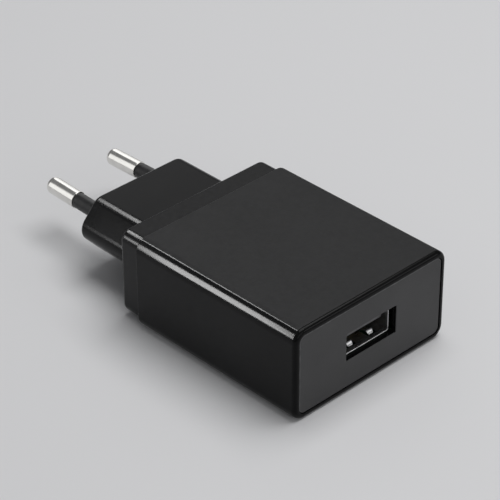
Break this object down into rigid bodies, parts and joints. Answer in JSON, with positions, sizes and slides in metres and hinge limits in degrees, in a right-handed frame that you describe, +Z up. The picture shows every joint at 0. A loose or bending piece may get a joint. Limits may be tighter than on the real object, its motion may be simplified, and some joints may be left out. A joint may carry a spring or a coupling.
{
  "type": "usb wall charger",
  "caption": "Black plug-in wall charger: rounded box with a USB-A port on one end and a stepped plug neck with round mains pins on the other.",
  "frame": {"origin": "middle of the resting outline, at the height of the underside", "axes": "+X across the pins, +Y from the USB face to the pin tips, +Z up through the thickness"},
  "size_m": [0.044, 0.09, 0.0218],
  "materials": {
    "gloss_black": "smooth moulded, semi-gloss",
    "matte_black": "fine matte texture",
    "matte_grey_black": "fine matte texture",
    "satin_black": "satin moulded",
    "sleeve_black": "smooth moulded",
    "nickel_plate": "nickel plated brass, polished",
    "spring_brass": "stamped strip",
    "board_green": "glass-epoxy board with solder mask",
    "fuse_ceramic": "glazed tube with metal caps",
    "chip_epoxy": "moulded epoxy",
    "capacitor_sleeve": "heat-shrunk film over a can",
    "ferrite": "sintered ferrite",
    "bobbin_plastic": "moulded phenolic",
    "enamelled_copper": "wound enamelled wire",
    "yellow_tape": "polyester tape",
    "blue_ceramic": "epoxy-dipped disc",
    "chip_ceramic": "fired chip with tinned ends",
    "capacitor_can": "drawn can",
    "insulating_paper": "smooth insulating paper",
    "receptacle_steel": "nickel plated stamped steel",
    "receptacle_plastic": "moulded insulator",
    "gold_contact": "gold plated phosphor bronze"
  },
  "bodies": {
    "charger": {"housing_sleeve": "gloss_black", "top_panel": "matte_black", "face_plate": "matte_grey_black", "rear_cap": "satin_black", "pin_left": "nickel_plate", "pin_right": "nickel_plate", "pin_sleeve_left": "sleeve_black", "pin_sleeve_right": "sleeve_black", "mains_contact_left": "spring_brass", "mains_contact_right": "spring_brass", "main_board": "board_green", "line_fuse": "fuse_ceramic", "bridge_rectifier": "chip_epoxy", "input_capacitors": "capacitor_sleeve", "filter_choke": "ferrite", "transformer_core": "ferrite", "transformer_bobbin": "bobbin_plastic", "transformer_winding": "enamelled_copper", "transformer_tape": "yellow_tape", "safety_capacitor": "blue_ceramic", "optocoupler": "chip_epoxy", "controller_chip": "chip_epoxy", "output_rectifier": "chip_epoxy", "chip_parts": "chip_ceramic", "output_capacitors": "capacitor_can", "insulation_sheet": "insulating_paper", "usb_shell": "receptacle_steel", "usb_tongue": "receptacle_plastic", "usb_solder_tails": "gold_contact"},
    "usb_contact_power": {"usb_contact_power": "gold_contact"},
    "usb_contact_data_minus": {"usb_contact_data_minus": "gold_contact"},
    "usb_contact_data_plus": {"usb_contact_data_plus": "gold_contact"},
    "usb_contact_ground": {"usb_contact_ground": "gold_contact"},
    "usb_spring_lower_left": {"usb_spring_lower_left": "receptacle_steel"},
    "usb_spring_lower_right": {"usb_spring_lower_right": "receptacle_steel"},
    "usb_spring_upper_left": {"usb_spring_upper_left": "receptacle_steel"},
    "usb_spring_upper_right": {"usb_spring_upper_right": "receptacle_steel"}
  },
  "joints": [
    {"name": "usb_contact_power_flex", "type": "hinge", "parent": "charger", "child": "usb_contact_power", "pos_m": [-0.0035, -0.0321, 0.01141], "axis": [-1, 0, 0], "range_deg": [0, 3.6], "stiffness_Nm_per_rad": 0.05},
    {"name": "usb_contact_data_minus_flex", "type": "hinge", "parent": "charger", "child": "usb_contact_data_minus", "pos_m": [-0.001, -0.0321, 0.01141], "axis": [-1, 0, 0], "range_deg": [0, 3.6], "stiffness_Nm_per_rad": 0.05},
    {"name": "usb_contact_data_plus_flex", "type": "hinge", "parent": "charger", "child": "usb_contact_data_plus", "pos_m": [0.001, -0.0321, 0.01141], "axis": [-1, 0, 0], "range_deg": [0, 3.6], "stiffness_Nm_per_rad": 0.05},
    {"name": "usb_contact_ground_flex", "type": "hinge", "parent": "charger", "child": "usb_contact_ground", "pos_m": [0.0035, -0.0321, 0.01141], "axis": [-1, 0, 0], "range_deg": [0, 3.6], "stiffness_Nm_per_rad": 0.05},
    {"name": "usb_spring_lower_left_flex", "type": "hinge", "parent": "charger", "child": "usb_spring_lower_left", "pos_m": [-0.003, -0.0354, 0.00819], "axis": [1, 0, 0], "range_deg": [0, 4], "stiffness_Nm_per_rad": 0.1},
    {"name": "usb_spring_lower_right_flex", "type": "hinge", "parent": "charger", "child": "usb_spring_lower_right", "pos_m": [0.003, -0.0354, 0.00819], "axis": [1, 0, 0], "range_deg": [0, 4], "stiffness_Nm_per_rad": 0.1},
    {"name": "usb_spring_upper_left_flex", "type": "hinge", "parent": "charger", "child": "usb_spring_upper_left", "pos_m": [-0.003, -0.0354, 0.01361], "axis": [-1, 0, 0], "range_deg": [0, 4], "stiffness_Nm_per_rad": 0.1},
    {"name": "usb_spring_upper_right_flex", "type": "hinge", "parent": "charger", "child": "usb_spring_upper_right", "pos_m": [0.003, -0.0354, 0.01361], "axis": [-1, 0, 0], "range_deg": [0, 4], "stiffness_Nm_per_rad": 0.1}
  ]
}
